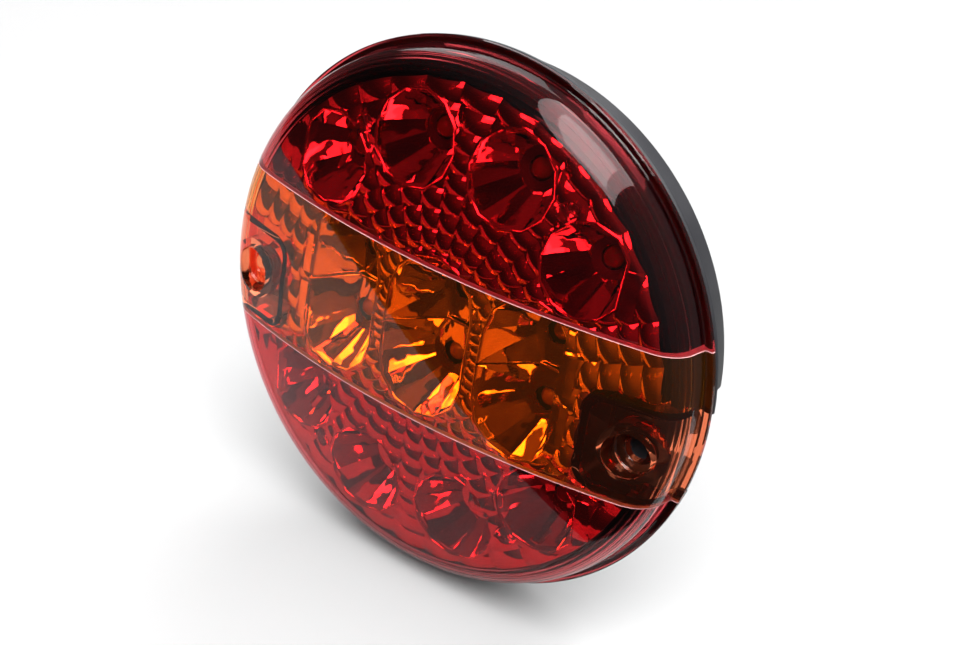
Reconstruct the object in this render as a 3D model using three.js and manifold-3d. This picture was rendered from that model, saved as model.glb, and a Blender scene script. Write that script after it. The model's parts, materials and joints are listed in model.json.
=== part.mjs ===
// Round LED rear combination lamp for a trailer: a domed three-colour lens over a chromed reflector
// with fourteen cups, an LED circuit board and a black dish-shaped housing.
// Millimetres. X right, -Y forwards (the lens faces -Y), +Z up. The origin is the centre of the flat back.
import * as THREE from 'three';
import { mergeVertices } from 'three/addons/utils/BufferGeometryUtils.js';
import Module from 'manifold-3d';

const wasm = await Module();
wasm.setup();

// ---- driving dimensions ----
const LENS_R = 70;              // radius at the rear edge of the lens
const SHOULDER_R = 67.8;        // radius where the side wall turns into the corner
const CORNER_R = 9;             // corner radius between side wall and dome
const DOME_R = 216;             // spherical front
const FRONT_Y = -37.3;          // apex of the dome
const LENS_BACK_Y = -15;        // rear edge of the lens
const LENS_WALL = 2;
const SEAM_Z = 20.2;            // the colour seams lie at z = +20.2 and z = -20.2
const FIT_GAP = 0.3;            // gap between neighbouring mouldings

const BACK_R = 63.8;            // housing radius at the back
const HOUSING_R = 65.8;         // housing radius just behind its flange
const FLANGE_R = 69.6;
const FLANGE_Y = [-14.15, -12.9];
const LIP_R = [62.6, 64.9];     // upright lip inside the lens skirt
const LIP_Y = -22;
const FLOOR_Y = -3.8;           // inside of the back plate
const RECESS_Y = -1.8;          // depth of the lightening pockets in the back
const POCKETS = 8;              // round the back, with ribs between them
const POCKET_IN_R = 13;
const POCKET_OUT_R = 55;
const SHORT_POCKET_OUT_R = 40;  // the two that face a screw
const POCKET_HALF_ANGLE = 0.35;
const POCKET_TAPER = 0.86;      // the inner end spans this share of the angle

const SCREW_X = 57.5;           // mounting screw holes, 115 mm apart
const SCREW_Z = -6.9;
const HEAD_BORE_R = 5.8;
const HEAD_SEAT_Y = -24.6;
const SCREW_BORE_R = 3;
const HEAD_TUBE_R = 7.75;
const HEAD_FLOOR = 2.2;
const FOOT_R = 4.3;             // housing boss behind the lens boss
const FOOT_END_Y = -2.5;
const TOWER = { inner: 44.9, low: -19.6, high: 6.1, corner: 5.5 };   // sealed wall round a screw
const TOWER_WALL = 1.8;
const TOWER_FOOT_Y = -18;
const FAR_X = 80;               // beyond the rim

const REFLECTOR_R = 61.8;
const REFLECTOR_TOP_Y = -31.9;  // the front of the reflector is a shallow dome too
const REFLECTOR_DOME_R = 290;
const REFLECTOR_WALL = 1.6;
const REFLECTOR_BACK_Y = -20;
const NOTCH_MARGIN = 1;         // reflector and board keep this far from the screw towers

const RED_INNER = { x: 14, z: 45.6, radius: 11.6, clip: 0 };
const RED_OUTER = { x: 37.2, z: 32, radius: 11.2, clip: 9.1 };   // clip: flat wall this far out from the axis
const AMBER_PITCH_X = 28;
const AMBER_Z = 9;
const AMBER_CUP_R = 11.8;
const AMBER_CLIP = 8.8;
const CUP_SIDES = 12;
const CUP_WALL = 1.1;
const CUP_END_Y = { red: -16.6, amber: -18.6 };
const CUP_WAIST = { share: 0.62, depth: 0.6 };   // share of the rim radius at this share of the depth
const CUP_HOLE_R = 3.3;

const BLOCK_RISE = 1.6;         // raised blocks beside the outer cups
const RED_BLOCK = { x: [46.9, 50.3], z: [24.5, 35.5] };
const AMBER_BLOCK = { x: [37.2, 40.4], z: [1.4, 11.6] };

const BOARD_R = 58.5;
const BOARD_Y = [-9.1, -7.5];
const LED_TIP_Y = -18.3;
const LED_BODY_R = 2.5;
const SEAT_GAP = 0.02;          // parts on the board keep this clear of it
const RESISTOR = { x: 16, z: [18, 12], bodyR: 1.1, endR: 1.25, long: 6.4 };
const DIODE = { x: [-16, 0, 16], z: [-12, -14, -12], bodyR: 1.3, long: 5.2 };
const REGULATOR_X = 24;
const TERMINAL = { x: [-9, -3, 3, 9], z: -24, height: 2.2 };
const LEAD_HALF = 0.25;

const POST_X = 29.5;            // reflector screws, between the red cups
const POST_Z = 43.5;
const WELL_R = 2.7;
const WELL_Y = -23.4;
const POST_R = 3.2;
const PILOT_R = 1.28;
const FIXING_R = 1.2;
const SCREW_END_Y = -4.8;
const PILOT_END_Y = -4.4;
const FIXING_HEAD = 1.5;        // height of a reflector screw's head
const CROSS_HALF = [1.2, 0.25]; // length and width of one bar of its cross slot, halved

const CABLE_Z = -34;            // cable inlet, in the lowest pocket of the back
const CABLE_R = 3;
const GROMMET_NECK_R = 5;
const GROMMET_FLANGE_R = 7;

const ROUND_STEPS = 48;
const COARSE_STEPS = 32;
const SMALL_STEPS = 16;
const TINY_STEPS = 8;

// ---- solids ----
function solid(geometry) {
  const bare = geometry.clone();
  bare.deleteAttribute('normal');
  bare.deleteAttribute('uv');
  const merged = mergeVertices(bare, 1e-4);
  const corners = merged.index.array;
  const triangles = [];
  for (let i = 0; i < corners.length; i += 3) {
    const [a, b, c] = [corners[i], corners[i + 1], corners[i + 2]];
    if (a !== b && b !== c && c !== a) triangles.push(a, b, c);
  }
  return new wasm.Manifold(new wasm.Mesh({
    numProp: 3,
    vertProperties: new Float32Array(merged.attributes.position.array),
    triVerts: new Uint32Array(triangles),
  }));
}

function geometryOf(body) {
  const mesh = body.getMesh();
  const geometry = new THREE.BufferGeometry();
  geometry.setAttribute('position', new THREE.BufferAttribute(new Float32Array(mesh.vertProperties), 3));
  geometry.setIndex(new THREE.BufferAttribute(new Uint32Array(mesh.triVerts), 1));
  return geometry;
}

// A body of revolution about the lamp's axis. The profile runs [radius, y] towards +Y on its outside.
function turned(profile, steps = ROUND_STEPS) {
  const points = profile.map(([r, y]) => new THREE.Vector2(r, y));
  return new THREE.LatheGeometry(points, steps);
}

function closed(profile) {
  return [...profile, profile[0]];
}

// A rod along Y from yLow to yHigh, at x and z.
function rod(radius, yLow, yHigh, x, z, steps = SMALL_STEPS) {
  const cylinder = new THREE.CylinderGeometry(radius, radius, yHigh - yLow, steps);
  return solid(cylinder.translate(x, (yLow + yHigh) / 2, z));
}

function block(x, y, z) {
  const box = new THREE.BoxGeometry(x[1] - x[0], y[1] - y[0], z[1] - z[0]);
  return solid(box.translate((x[0] + x[1]) / 2, (y[0] + y[1]) / 2, (z[0] + z[1]) / 2));
}

// A flat outline in X and Z, pushed along Y from y[0] to y[1].
function prism(outline, y) {
  const pushed = new THREE.ExtrudeGeometry(outline, { depth: y[1] - y[0], bevelEnabled: false, curveSegments: 5 });
  return solid(pushed.rotateX(Math.PI / 2).translate(0, y[1], 0));
}

function roundedOutline(x0, x1, z0, z1, corner) {
  const outline = new THREE.Shape();
  outline.moveTo(x0 + corner, z0);
  outline.absarc(x1 - corner, z0 + corner, corner, -Math.PI / 2, 0, false);
  outline.absarc(x1 - corner, z1 - corner, corner, 0, Math.PI / 2, false);
  outline.absarc(x0 + corner, z1 - corner, corner, Math.PI / 2, Math.PI, false);
  outline.absarc(x0 + corner, z0 + corner, corner, Math.PI, Math.PI * 1.5, false);
  return outline;
}

// The space round a mounting screw, grown by a margin on its three closed sides.
function towerPrism(side, margin, y) {
  const near = TOWER.inner - margin;
  const [x0, x1] = side > 0 ? [near, FAR_X] : [-FAR_X, -near];
  const outline = roundedOutline(x0, x1, TOWER.low - margin, TOWER.high + margin, TOWER.corner + margin);
  return prism(outline, y);
}

const parts = new THREE.Group();
function add(name, shape, colour, roughness, metalness = 0, opacity = 1) {
  const geometry = shape.isBufferGeometry ? shape : geometryOf(shape);
  geometry.computeVertexNormals();
  const material = new THREE.MeshStandardMaterial({ color: colour, roughness, metalness });
  material.opacity = opacity;
  material.transparent = opacity < 1;
  const mesh = new THREE.Mesh(geometry, material);
  mesh.name = name;
  parts.add(mesh);
  return mesh;
}

// ---- lens ----
const DOME_CENTRE_Y = FRONT_Y + DOME_R;
const CORNER_AXIS_R = SHOULDER_R - CORNER_R;
const CORNER_AXIS_Y = DOME_CENTRE_Y - Math.sqrt((DOME_R - CORNER_R) ** 2 - CORNER_AXIS_R ** 2);
const CORNER_START = Math.asin(CORNER_AXIS_R / (DOME_R - CORNER_R));

// The lens surface, moved inwards by inset: dome, corner, then the flared side wall.
function lensCurve(inset, domeSteps = 5, cornerSteps = 4) {
  const curve = [];
  for (let i = 0; i <= domeSteps; i += 1) {
    const angle = CORNER_START * i / domeSteps;
    const radius = DOME_R - inset;
    curve.push([radius * Math.sin(angle), DOME_CENTRE_Y - radius * Math.cos(angle)]);
  }
  for (let i = 1; i <= cornerSteps; i += 1) {
    const angle = CORNER_START + (Math.PI / 2 - CORNER_START) * i / cornerSteps;
    const radius = CORNER_R - inset;
    curve.push([CORNER_AXIS_R + radius * Math.sin(angle), CORNER_AXIS_Y - radius * Math.cos(angle)]);
  }
  curve.push([LENS_R - inset, LENS_BACK_Y]);
  return curve;
}

const lensBlank = solid(turned([...lensCurve(0), [0, LENS_BACK_Y]]));
function spaceBehindLens(clearance) {
  const inset = LENS_WALL + clearance;
  return solid(turned([...lensCurve(inset), [LENS_R - inset, 0], [0, 0]]));
}
const lensInside = spaceBehindLens(0);
const lensShell = lensBlank.subtract(lensInside);
const WIDE = [-FAR_X, FAR_X];
const AMBER_TOP = SEAM_Z - FIT_GAP / 2;
const RED_START = SEAM_Z + FIT_GAP / 2;

function screwTower(side) {
  const x = side * SCREW_X;
  const wallY = [FRONT_Y, TOWER_FOOT_Y];
  const wall = towerPrism(side, 0, wallY).subtract(towerPrism(side, -TOWER_WALL, wallY));
  const tube = rod(HEAD_TUBE_R, FRONT_Y, HEAD_SEAT_Y + HEAD_FLOOR, x, SCREW_Z, 24);
  return wall.add(tube).intersect(lensBlank);
}

function screwBore(side) {
  const x = side * SCREW_X;
  const head = rod(HEAD_BORE_R, FRONT_Y - 1, HEAD_SEAT_Y, x, SCREW_Z, 24);
  return head.add(rod(SCREW_BORE_R, FRONT_Y, 1, x, SCREW_Z));
}

const bores = screwBore(1).add(screwBore(-1));
const amberBand = lensShell.intersect(block(WIDE, WIDE, [-AMBER_TOP, AMBER_TOP]))
  .add(screwTower(1))
  .add(screwTower(-1))
  .subtract(bores);
add('lens_upper_red', lensShell.intersect(block(WIDE, WIDE, [RED_START, FAR_X])), 0xb30010, 0.06, 0, 0.6);
add('lens_amber_band', amberBand, 0xe06a08, 0.06, 0, 0.6);
add('lens_lower_red', lensShell.intersect(block(WIDE, WIDE, [-FAR_X, -RED_START])), 0xb30010, 0.06, 0, 0.6);

const SEAL_R = [66.6, 69.4];
const SEAL_Y = [LENS_BACK_Y + 0.05, FLANGE_Y[0] - 0.05];
const sealRing = solid(turned(closed([
  [SEAL_R[0], SEAL_Y[0]],
  [SEAL_R[1], SEAL_Y[0]],
  [SEAL_R[1], SEAL_Y[1]],
  [SEAL_R[0], SEAL_Y[1]],
])));

// ---- housing ----
const housingOutside = [
  [LIP_R[1], LIP_Y],
  [HOUSING_R - 0.2, FLANGE_Y[0]],
  [FLANGE_R, FLANGE_Y[0]],
  [FLANGE_R, FLANGE_Y[1]],
  [HOUSING_R, FLANGE_Y[1]],
  [BACK_R, -0.8],
  [BACK_R - 0.8, 0],
];
const housingBlank = solid(turned([[0, LIP_Y], ...housingOutside, [0, 0]]));
const housingCavity = solid(turned([[0, LIP_Y - 1], [LIP_R[0], LIP_Y - 1], [LIP_R[0] - 0.6, FLOOR_Y], [0, FLOOR_Y]]));

// A pocket in the back: part of a ring, narrower towards the middle.
function pocket(middle, rHigh) {
  const [rLow, halfAngle] = [POCKET_IN_R, POCKET_HALF_ANGLE];
  const outline = new THREE.Shape();
  const inner = halfAngle * POCKET_TAPER;
  outline.absarc(0, 0, rHigh, middle - halfAngle, middle + halfAngle, false);
  outline.absarc(0, 0, rLow, middle + inner, middle - inner, true);
  return prism(outline, [RECESS_Y, 1]);
}

const THROUGH_Y = [FRONT_Y, 1];
const BITE_TOP_Y = TOWER_FOOT_Y + FIT_GAP;
let housing = housingBlank.subtract(housingCavity);
for (const side of [1, -1]) {
  housing = housing.subtract(towerPrism(side, FIT_GAP, [LIP_Y - 5, BITE_TOP_Y]));
  housing = housing.subtract(towerPrism(side, -TOWER_WALL, THROUGH_Y));
  const wall = towerPrism(side, 0, [BITE_TOP_Y, 0]).subtract(towerPrism(side, -TOWER_WALL, THROUGH_Y));
  housing = housing.add(wall.intersect(housingBlank));
  const footTop = HEAD_SEAT_Y + HEAD_FLOOR + FIT_GAP;
  const webX = [TOWER.inner + 1, SCREW_X - SCREW_BORE_R - 0.5];
  const web = block(side > 0 ? webX : [-webX[1], -webX[0]], [BITE_TOP_Y, FOOT_END_Y], [SCREW_Z - 1, SCREW_Z + 1]);
  housing = housing.add(rod(FOOT_R, footTop, FOOT_END_Y, side * SCREW_X, SCREW_Z)).add(web);
}
housing = housing.subtract(bores);
for (let k = 0; k < POCKETS; k += 1) {
  const facesScrew = k % (POCKETS / 2) === 0;
  housing = housing.subtract(pocket(k * 2 * Math.PI / POCKETS, facesScrew ? SHORT_POCKET_OUT_R : POCKET_OUT_R));
}
const posts = [];
for (const x of [-POST_X, POST_X]) {
  for (const z of [-POST_Z, POST_Z]) posts.push([x, z]);
}
for (const [x, z] of posts) {
  housing = housing.add(rod(POST_R, BOARD_Y[1] + 0.05, FLOOR_Y + 0.5, x, z, 12));
}
for (const [x, z] of posts) {
  housing = housing.subtract(rod(PILOT_R, BOARD_Y[1] - 1, PILOT_END_Y, x, z, TINY_STEPS));
}
housing = housing.subtract(rod(GROMMET_NECK_R + 0.1, FLOOR_Y - 1, 1, 0, CABLE_Z, SMALL_STEPS));
add('housing', housing, 0x141414, 0.55);

let seal = sealRing;
for (const side of [1, -1]) seal = seal.subtract(towerPrism(side, 0, THROUGH_Y));
const sealHalves = [
  ['lens_seal_upper', seal.intersect(block(WIDE, WIDE, [0, FAR_X]))],
  ['lens_seal_lower', seal.intersect(block(WIDE, WIDE, [-FAR_X, 0]))],
];
for (const [name, shape] of sealHalves) add(name, shape, 0x202020, 0.8);

// ---- cable grommet: a ring with a groove that snaps into the back plate ----
const FLANGE_IN = 1.4;
const grommetProfile = closed([
  [CABLE_R, FLOOR_Y - FLANGE_IN],
  [GROMMET_FLANGE_R, FLOOR_Y - FLANGE_IN],
  [GROMMET_FLANGE_R, FLOOR_Y - 0.05],
  [GROMMET_NECK_R, FLOOR_Y - 0.05],
  [GROMMET_NECK_R, RECESS_Y + 0.05],
  [GROMMET_FLANGE_R, RECESS_Y + 0.05],
  [GROMMET_FLANGE_R - 0.5, -0.4],
  [CABLE_R, -0.4],
]);
add('cable_grommet', turned(grommetProfile, SMALL_STEPS).translate(0, 0, CABLE_Z), 0x1b1b1b, 0.75);

// ---- cups ----
const cups = [];
for (const up of [1, -1]) {
  for (const right of [-1, 1]) {
    for (const { x, z, radius, clip } of [RED_INNER, RED_OUTER]) {
      cups.push({ colour: 'red', x: right * x, z: up * z, radius, clip });
    }
  }
}
for (const column of [-1, 0, 1]) {
  for (const up of [1, -1]) {
    const x = column * AMBER_PITCH_X;
    cups.push({ colour: 'amber', x, z: up * AMBER_Z, radius: AMBER_CUP_R, clip: column ? AMBER_CLIP : 0 });
  }
}

function reflectorFront(r) {
  return REFLECTOR_TOP_Y + REFLECTOR_DOME_R - Math.sqrt(REFLECTOR_DOME_R ** 2 - r ** 2);
}

// One cup as a faceted solid; grow widens it for the outside of its wall.
function cupSolid(cup, grow, yTop, yEnd) {
  const rimY = reflectorFront(Math.hypot(cup.x, cup.z));
  const endY = CUP_END_Y[cup.colour];
  const waistY = rimY + (endY - rimY) * CUP_WAIST.depth;
  const profile = [
    [0, yTop],
    [cup.radius + grow, yTop],
    [cup.radius + grow, rimY],
    [cup.radius * CUP_WAIST.share + grow, waistY],
    [CUP_HOLE_R + grow, endY],
    [CUP_HOLE_R + grow, yEnd],
    [0, yEnd],
  ];
  const lathe = new THREE.LatheGeometry(profile.map(([r, y]) => new THREE.Vector2(r, y)), CUP_SIDES);
  const whole = solid(lathe.translate(cup.x, 0, cup.z));
  if (!cup.clip) return whole;
  const edge = Math.abs(cup.x) + cup.clip + grow;
  return whole.intersect(block(cup.x > 0 ? [0, edge] : [-edge, 0], WIDE, WIDE));
}

// ---- reflector ----
const frontRing = [0, 21, 42, REFLECTOR_R].map((r) => [r, reflectorFront(r)]);
const rimInside = REFLECTOR_R - REFLECTOR_WALL;
const backRing = [rimInside, 42, 21, 0].map((r) => [r, reflectorFront(r) + REFLECTOR_WALL]);
const reflectorBlank = solid(turned([
  ...frontRing,
  [REFLECTOR_R, REFLECTOR_BACK_Y],
  [rimInside, REFLECTOR_BACK_Y],
  ...backRing,
], COARSE_STEPS));
const reflectorFull = solid(turned([...frontRing, [REFLECTOR_R, BOARD_Y[0]], [0, BOARD_Y[0]]], COARSE_STEPS));
let reflector = reflectorBlank;
for (const cup of cups) {
  const outside = cupSolid(cup, CUP_WALL, FRONT_Y, CUP_END_Y[cup.colour] + CUP_WALL);
  reflector = reflector.add(outside.intersect(reflectorFull));
}
const reflectorRoom = spaceBehindLens(2 * FIT_GAP);
for (const { x, z } of [RED_BLOCK, AMBER_BLOCK]) {
  const middle = reflectorFront(Math.hypot((x[0] + x[1]) / 2, (z[0] + z[1]) / 2));
  for (const right of [-1, 1]) {
    for (const up of [-1, 1]) {
      const alongX = x.map((value) => value * right).sort((p, q) => p - q);
      const alongZ = z.map((value) => value * up).sort((p, q) => p - q);
      const raised = block(alongX, [middle - BLOCK_RISE, middle + REFLECTOR_WALL], alongZ);
      reflector = reflector.add(raised.intersect(reflectorRoom));
    }
  }
}
for (const [x, z] of posts) {
  const boss = rod(WELL_R + 1, FRONT_Y, BOARD_Y[0] - 0.1, x, z, 12);
  reflector = reflector.add(boss.intersect(reflectorFull));
}
for (const cup of cups) reflector = reflector.subtract(cupSolid(cup, 0, FRONT_Y, CUP_END_Y[cup.colour] + 3));
for (const [x, z] of posts) {
  reflector = reflector.subtract(rod(WELL_R, FRONT_Y, WELL_Y, x, z, 12));
  reflector = reflector.subtract(rod(PILOT_R + 0.2, FRONT_Y, 0, x, z, TINY_STEPS));
}
for (const side of [1, -1]) reflector = reflector.subtract(towerPrism(side, NOTCH_MARGIN, THROUGH_Y));
add('reflector', reflector, 0xd8d8d8, 0.08, 1);

// ---- circuit board ----
let board = rod(BOARD_R, BOARD_Y[0], BOARD_Y[1], 0, 0, ROUND_STEPS);
for (const side of [1, -1]) board = board.subtract(towerPrism(side, NOTCH_MARGIN, THROUGH_Y));
for (const [x, z] of posts) board = board.subtract(rod(PILOT_R + 0.2, FRONT_Y, 0, x, z, TINY_STEPS));
add('circuit_board', board, 0x1f5a2c, 0.5);

// ---- light sources: a flange, a body and a round tip, one to each cup ----
function ledGeometry(x, z) {
  const seat = BOARD_Y[0] - SEAT_GAP;
  const profile = [
    [0, LED_TIP_Y],
    [1.4, LED_TIP_Y + 0.5],
    [LED_BODY_R, LED_TIP_Y + 2.3],
    [LED_BODY_R, seat - 1],
    [LED_BODY_R + 0.4, seat - 1],
    [LED_BODY_R + 0.4, seat],
    [0, seat],
  ];
  return turned(profile, TINY_STEPS).translate(x, 0, z);
}
const counts = { red: 0, amber: 0 };
for (const cup of cups) {
  counts[cup.colour] += 1;
  const tint = cup.colour === 'red' ? 0xc83030 : 0xe0a040;
  add(`led_${cup.colour}_${counts[cup.colour]}`, ledGeometry(cup.x, cup.z), tint, 0.15);
}

// ---- reflector screws: pan head in its well, shank through the board into the housing post ----
posts.forEach(([x, z], i) => {
  const seat = WELL_Y - SEAT_GAP;
  const head = solid(turned([
    [0, seat - FIXING_HEAD],
    [1.3, seat - FIXING_HEAD + 0.1],
    [1.9, seat - FIXING_HEAD / 2],
    [1.9, seat],
    [FIXING_R, seat],
    [FIXING_R, SCREW_END_Y - 1],
    [0, SCREW_END_Y],
  ], 12).translate(x, 0, z));
  const slotY = [seat - 2, seat - 0.9];
  const [long, thin] = CROSS_HALF;
  const cross = block([x - long, x + long], slotY, [z - thin, z + thin])
    .add(block([x - thin, x + thin], slotY, [z - long, z + long]));
  add(`reflector_screw_${i + 1}`, head.subtract(cross), 0xb0b0b0, 0.3, 1);
});

// ---- parts on the back of the board ----
const BACK_SEAT = BOARD_Y[1] + SEAT_GAP;

// An axial part lies along X with a lead at each end, bent into the board.
function axialPart(bodyR, endR, bodyLength, x, z) {
  const half = bodyLength / 2;
  const middleY = BOARD_Y[1] + 0.3 + Math.max(bodyR, endR);
  const profile = [
    [0, -half], [endR, -half], [endR, -half + 1.2], [bodyR, -half + 1.7],
    [bodyR, half - 1.7], [endR, half - 1.2], [endR, half], [0, half],
  ];
  let whole = solid(turned(profile, TINY_STEPS).rotateZ(Math.PI / 2).translate(x, middleY, z));
  const leadY = [middleY - LEAD_HALF, middleY + LEAD_HALF];
  const leadZ = [z - LEAD_HALF, z + LEAD_HALF];
  for (const side of [-1, 1]) {
    const root = x + side * (half - 0.4);
    const tip = x + side * (half + 1.2);
    const lead = block([Math.min(root, tip), Math.max(root, tip)], leadY, leadZ);
    const foot = block([tip - LEAD_HALF, tip + LEAD_HALF], [BACK_SEAT, leadY[1]], leadZ);
    whole = whole.add(lead).add(foot);
  }
  return whole;
}

let resistors = 0;
for (const x of [-RESISTOR.x, RESISTOR.x]) {
  for (const z of RESISTOR.z) {
    resistors += 1;
    const shape = axialPart(RESISTOR.bodyR, RESISTOR.endR, RESISTOR.long, x, z);
    add(`resistor_${resistors}`, shape, 0xc9b48a, 0.6);
  }
}
DIODE.x.forEach((x, i) => {
  const shape = axialPart(DIODE.bodyR, DIODE.bodyR, DIODE.long, x, DIODE.z[i]);
  add(`diode_${i + 1}`, shape, 0x1a1a1a, 0.45);
});

// A power regulator: moulded body, metal tab and three legs flat on the board.
function regulator(x) {
  let whole = block([x - 3.3, x + 3.3], [BACK_SEAT + 0.1, BACK_SEAT + 2.4], [-3, 3]);
  whole = whole.add(block([x - 2.6, x + 2.6], [BACK_SEAT, BACK_SEAT + 0.6], [2.5, 4.6]));
  for (const leg of [x - 2.3, x, x + 2.3]) {
    whole = whole.add(block([leg - 0.4, leg + 0.4], [BACK_SEAT, BACK_SEAT + 0.6], [-5, -2.5]));
  }
  return whole;
}
[-REGULATOR_X, REGULATOR_X].forEach((x, i) => add(`regulator_${i + 1}`, regulator(x), 0x18181a, 0.5));

// Solder terminals for the wires of the four circuits.
TERMINAL.x.forEach((x, i) => {
  const top = BACK_SEAT + TERMINAL.height;
  const profile = [[0, BACK_SEAT], [1.7, BACK_SEAT], [1.1, BACK_SEAT + 0.7], [0.8, top], [0, top]];
  const post = turned(profile, 10).translate(x, 0, TERMINAL.z);
  add(`wire_terminal_${i + 1}`, post, 0xc8c8cc, 0.3, 1);
});

export default parts;
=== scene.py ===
import json
import math

import bmesh
import bpy
from mathutils import Matrix, Vector


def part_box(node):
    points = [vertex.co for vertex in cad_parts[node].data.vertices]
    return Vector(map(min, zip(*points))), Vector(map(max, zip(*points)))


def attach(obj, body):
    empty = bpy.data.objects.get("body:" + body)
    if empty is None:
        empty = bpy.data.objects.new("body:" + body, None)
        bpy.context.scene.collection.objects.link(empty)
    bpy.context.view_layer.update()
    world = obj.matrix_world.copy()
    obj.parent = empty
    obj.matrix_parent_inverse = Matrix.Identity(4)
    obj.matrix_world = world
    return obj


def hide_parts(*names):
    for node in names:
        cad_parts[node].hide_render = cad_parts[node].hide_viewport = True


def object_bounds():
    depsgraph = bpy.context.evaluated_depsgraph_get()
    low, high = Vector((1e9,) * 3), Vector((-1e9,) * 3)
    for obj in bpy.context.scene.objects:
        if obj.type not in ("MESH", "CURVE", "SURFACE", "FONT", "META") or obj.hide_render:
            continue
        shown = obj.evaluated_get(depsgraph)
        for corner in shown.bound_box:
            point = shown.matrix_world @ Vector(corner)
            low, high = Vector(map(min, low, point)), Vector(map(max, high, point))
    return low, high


# The looks of a round trailer tail light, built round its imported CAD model.
# Lengths of the lamp and the table are in millimetres; a mesh is scaled to metres when it is made.
# The depths of surface bumps and the places and sizes of the studio's lights are in metres.
# +X is to the right, the lens faces -Y, and +Z is up.

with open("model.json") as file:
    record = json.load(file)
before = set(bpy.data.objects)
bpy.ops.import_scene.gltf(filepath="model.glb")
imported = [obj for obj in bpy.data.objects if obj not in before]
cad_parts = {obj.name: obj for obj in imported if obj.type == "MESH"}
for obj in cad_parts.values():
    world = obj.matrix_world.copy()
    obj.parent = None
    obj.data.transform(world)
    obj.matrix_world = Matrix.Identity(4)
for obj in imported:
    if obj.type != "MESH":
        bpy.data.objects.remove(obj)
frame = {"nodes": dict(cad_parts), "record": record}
cad_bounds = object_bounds()
MM = 0.001


def box_mm(node):
    low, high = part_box(node)
    return low / MM, high / MM


# ---- camera ----
CAMERA_AT = Vector((249.4, -404.6, 237.9)) * MM
CAMERA_RIGHT = Vector((0.7930, 0.5900, 0.1525)).normalized()
CAMERA_FORWARD = Vector((-0.4720, 0.7530, -0.4590))
FOCAL = 78.64


def make_camera():
    data = bpy.data.cameras.new("camera")
    data.lens = FOCAL
    data.sensor_width = 36
    data.clip_end = 20
    camera = bpy.data.objects.new("camera", data)
    forward = (CAMERA_FORWARD - CAMERA_RIGHT * CAMERA_FORWARD.dot(CAMERA_RIGHT)).normalized()
    up = CAMERA_RIGHT.cross(forward)
    turn = Matrix((CAMERA_RIGHT, up, -forward)).transposed()
    camera.matrix_world = Matrix.Translation(CAMERA_AT) @ turn.to_4x4()
    bpy.context.scene.collection.objects.link(camera)
    bpy.context.scene.camera = camera


make_camera()

# ---- sizes taken from the frame ----
LENS_R = (cad_bounds[1].x - cad_bounds[0].x) / MM / 2
FRONT_Y = cad_bounds[0].y / MM
LENS_BACK_Y = box_mm("lens_upper_red")[1].y
RED_START = box_mm("lens_upper_red")[0].z
AMBER_TOP = box_mm("lens_amber_band")[1].z
REFLECTOR_R = box_mm("reflector")[1].z
BOARD_FRONT_Y = box_mm("circuit_board")[0].y
MOUNTS = {m["name"]: Vector(m["pos_m"]) / MM for m in frame["record"]["mounts"]}
SCREW_X = MOUNTS["screw_seat_right"].x
HEAD_SEAT_Y = MOUNTS["screw_seat_right"].y

# ---- other sizes ----
SHOULDER_R = 67.8
CORNER_R = 9.0
DOME_R = 216.0
LENS_WALL = 2.0
RIM_LIP = 1.4
LIP_CHAMFER = 0.3
WALL_FLARE = 0.5
SCREW_Z = -6.9
HEAD_BORE_R = 5.8
SCREW_BORE_R = 3.0
HEAD_TUBE_R = 7.75
HEAD_FLOOR = 2.2
GAP = 0.3
TOWER_INNER = 44.9
TOWER_LOW = -19.6
TOWER_HIGH = 6.1
TOWER_CORNER = 5.5
TOWER_WALL = 1.8
TOWER_FOOT_Y = -18.0
FAR = 80.0
AROUND = 256


# ---- mesh helpers ----
def mesh_object(name, corners, faces):
    mesh = bpy.data.meshes.new(name)
    mesh.from_pydata([tuple(c * MM for c in corner) for corner in corners], [], faces)
    work = bmesh.new()
    work.from_mesh(mesh)
    bmesh.ops.recalc_face_normals(work, faces=work.faces)
    work.to_mesh(mesh)
    work.free()
    made = bpy.data.objects.new(name, mesh)
    bpy.context.scene.collection.objects.link(made)
    return made


def turned(name, profile, steps=AROUND, x=0.0, z=0.0):
    """A solid of revolution about Y. The profile of (radius, y) starts and ends on the axis,
    or closes on itself."""
    corners = []
    rings = []
    for radius, y in profile:
        if radius < 1e-6:
            rings.append([len(corners)] * steps)
            corners.append((x, y, z))
        else:
            rings.append(list(range(len(corners), len(corners) + steps)))
            for k in range(steps):
                angle = math.tau * k / steps
                corners.append((x + radius * math.sin(angle), y, z + radius * math.cos(angle)))
    on_axis = profile[0][0] < 1e-6
    pairs = list(zip(rings, rings[1:])) if on_axis else list(zip(rings, rings[1:] + rings[:1]))
    faces = []
    for low, high in pairs:
        for k in range(steps):
            n = (k + 1) % steps
            face = [low[k], low[n], high[n], high[k]]
            kept = [v for i, v in enumerate(face) if v not in face[:i]]
            if len(kept) > 2:
                faces.append(kept)
    return mesh_object(name, corners, faces)


def pushed(name, near, far):
    """A solid between two outlines with the same number of (x, y, z) points."""
    n = len(near)
    faces = [list(range(n)), list(range(2 * n - 1, n - 1, -1))]
    faces += [[k, (k + 1) % n, n + (k + 1) % n, n + k] for k in range(n)]
    return mesh_object(name, near + far, faces)


def prism(name, outline, y_low, y_high):
    """A flat outline of (x, z) points, pushed along Y."""
    return pushed(name, [(x, y_low, z) for x, z in outline], [(x, y_high, z) for x, z in outline])


def side_prism(name, outline, z_low, z_high):
    """A flat outline of (x, y) points, pushed along Z."""
    return pushed(name, [(x, y, z_low) for x, y in outline], [(x, y, z_high) for x, y in outline])


def rod(radius, y_low, y_high, x, z, steps=64):
    return turned("rod", [(0, y_low), (radius, y_low), (radius, y_high), (0, y_high)], steps, x, z)


def block(x, y, z):
    return prism("block", [(x[0], z[0]), (x[1], z[0]), (x[1], z[1]), (x[0], z[1])], y[0], y[1])


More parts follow.
